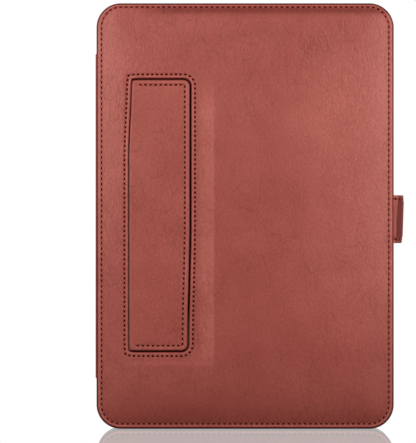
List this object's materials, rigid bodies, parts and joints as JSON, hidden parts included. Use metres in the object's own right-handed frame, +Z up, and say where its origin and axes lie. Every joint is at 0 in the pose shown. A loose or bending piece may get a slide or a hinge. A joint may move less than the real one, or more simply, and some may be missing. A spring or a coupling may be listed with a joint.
{
  "type": "e-reader in folio case",
  "caption": "Padded leather folio, closed and standing on its short edge, holding an e-reader in a framed sleeve and a slim keyboard under elastic corners, with kickstand flap and latch strap.",
  "frame": {"origin": "on the surface it stands on, under the middle of the closed folio", "axes": "+Z up the long side, -Y out of the kickstand cover, +X from the spine towards the latch strap"},
  "size_m": [0.1904, 0.0284, 0.262],
  "materials": {
    "leather_brown": "smooth glazed, fine grain",
    "lining_grey": "brushed microfibre",
    "padding_foam": "open foam",
    "stiffener_board": "grey board",
    "elastic_black": "woven elastic",
    "case_white": "satin white",
    "housing_dark": "fine texture",
    "keyboard_black": "satin",
    "key_rubber": "matte silicone",
    "screen_glass": "anti-glare",
    "guide_clear": "clear acrylic",
    "epaper_grey": "matte",
    "chassis_metal": "die cast",
    "cell_wrap": "pouch",
    "circuit_green": "solder mask",
    "flex_amber": "polyimide",
    "steel_plain": "plain",
    "magnet_nickel": "nickel plate"
  },
  "bodies": {
    "back_cover": {"back_cover_leather": "leather_brown", "back_cover_foam": "padding_foam", "back_cover_board": "stiffener_board", "back_cover_lining": "lining_grey", "stand_well": "lining_grey", "stand_keeper": "steel_plain", "sleeve_leaf": "leather_brown", "sleeve_strip_upper": "leather_brown", "sleeve_strip_lower": "leather_brown", "sleeve_strip_spine": "leather_brown", "latch_root": "leather_brown"},
    "stand_flap": {"flap_leather": "leather_brown", "flap_board": "stiffener_board", "flap_lining": "lining_grey", "flap_magnets": "magnet_nickel"},
    "spine": {"spine_leather": "leather_brown", "spine_board": "stiffener_board", "spine_lining": "lining_grey"},
    "front_cover": {"front_cover_leather": "leather_brown", "front_cover_foam": "padding_foam", "front_cover_board": "stiffener_board", "front_cover_lining": "lining_grey", "latch_strike": "steel_plain", "corner_elastic_spine_bottom": "elastic_black", "corner_elastic_latch_bottom": "elastic_black", "corner_elastic_latch_top": "elastic_black", "corner_elastic_spine_top": "elastic_black", "keyboard_deck": "keyboard_black", "keyboard_rim": "case_white", "keyboard_base": "keyboard_black", "keyboard_key_mat": "key_rubber", "keyboard_membrane": "circuit_green", "keyboard_battery": "cell_wrap", "keyboard_port": "steel_plain"},
    "keyboard_power": {"keyboard_switch": "keyboard_black"},
    "latch_span": {"latch_span_lining": "leather_brown", "latch_span_leather": "leather_brown"},
    "latch_tip": {"latch_tip_lining": "leather_brown", "latch_tip_leather": "leather_brown", "latch_magnet": "magnet_nickel"},
    "ereader": {"rear_housing": "housing_dark", "front_frame": "case_white", "housing_screws": "steel_plain", "cover_glass": "screen_glass", "front_light_guide": "guide_clear", "epaper_panel": "epaper_grey", "chassis_plate": "chassis_metal", "panel_flex": "flex_amber", "battery": "cell_wrap", "main_board": "circuit_green", "shield_can": "steel_plain", "usb_port": "steel_plain", "key_switch_board": "circuit_green"},
    "power_key": {"power_button": "housing_dark"},
    "page_back_key": {"page_back_button": "case_white"},
    "home_key": {"home_button": "case_white"},
    "page_next_key": {"page_next_button": "case_white"}
  },
  "joints": [
    {"name": "spine_fold", "type": "hinge", "parent": "back_cover", "child": "spine", "pos_m": [-0.094, -0.00815, 0.131], "axis": [0, 0, 1], "range_deg": [0, 90]},
    {"name": "cover_fold", "type": "hinge", "parent": "spine", "child": "front_cover", "pos_m": [-0.094, 0.00725, 0.131], "axis": [0, 0, 1], "range_deg": [0, 90]},
    {"name": "stand_fold", "type": "hinge", "parent": "back_cover", "child": "stand_flap", "pos_m": [-0.0739, -0.01415, 0.1315], "axis": [0, 0, -1], "range_deg": [0, 105]},
    {"name": "latch_fold", "type": "hinge", "parent": "back_cover", "child": "latch_span", "pos_m": [0.09315, -0.00875, 0.1291], "axis": [0, 0, -1], "range_deg": [0, 120]},
    {"name": "latch_tip_fold", "type": "hinge", "parent": "latch_span", "child": "latch_tip", "pos_m": [0.09315, 0.012, 0.1291], "axis": [0, 0, -1], "range_deg": [0, 90]},
    {"name": "reader_slide", "type": "slide", "parent": "back_cover", "child": "ereader", "axis": [0, 0, 1], "range_m": [0, 0.262]},
    {"name": "power_press", "type": "slide", "parent": "ereader", "child": "power_key", "axis": [0, 0, -1], "range_m": [0, 0.0003], "stiffness_N_per_m": 4000},
    {"name": "page_back_press", "type": "slide", "parent": "ereader", "child": "page_back_key", "axis": [0, -1, 0], "range_m": [0, 0.0003], "stiffness_N_per_m": 4000},
    {"name": "home_press", "type": "slide", "parent": "ereader", "child": "home_key", "axis": [0, -1, 0], "range_m": [0, 0.0003], "stiffness_N_per_m": 4000},
    {"name": "page_next_press", "type": "slide", "parent": "ereader", "child": "page_next_key", "axis": [0, -1, 0], "range_m": [0, 0.0003], "stiffness_N_per_m": 4000},
    {"name": "keyboard_power_slide", "type": "slide", "parent": "front_cover", "child": "keyboard_power", "axis": [1, 0, 0], "range_m": [0, 0.003]}
  ],
  "couplings": [
    {"joint": "cover_fold", "follows": "spine_fold", "ratio": 1}
  ]
}
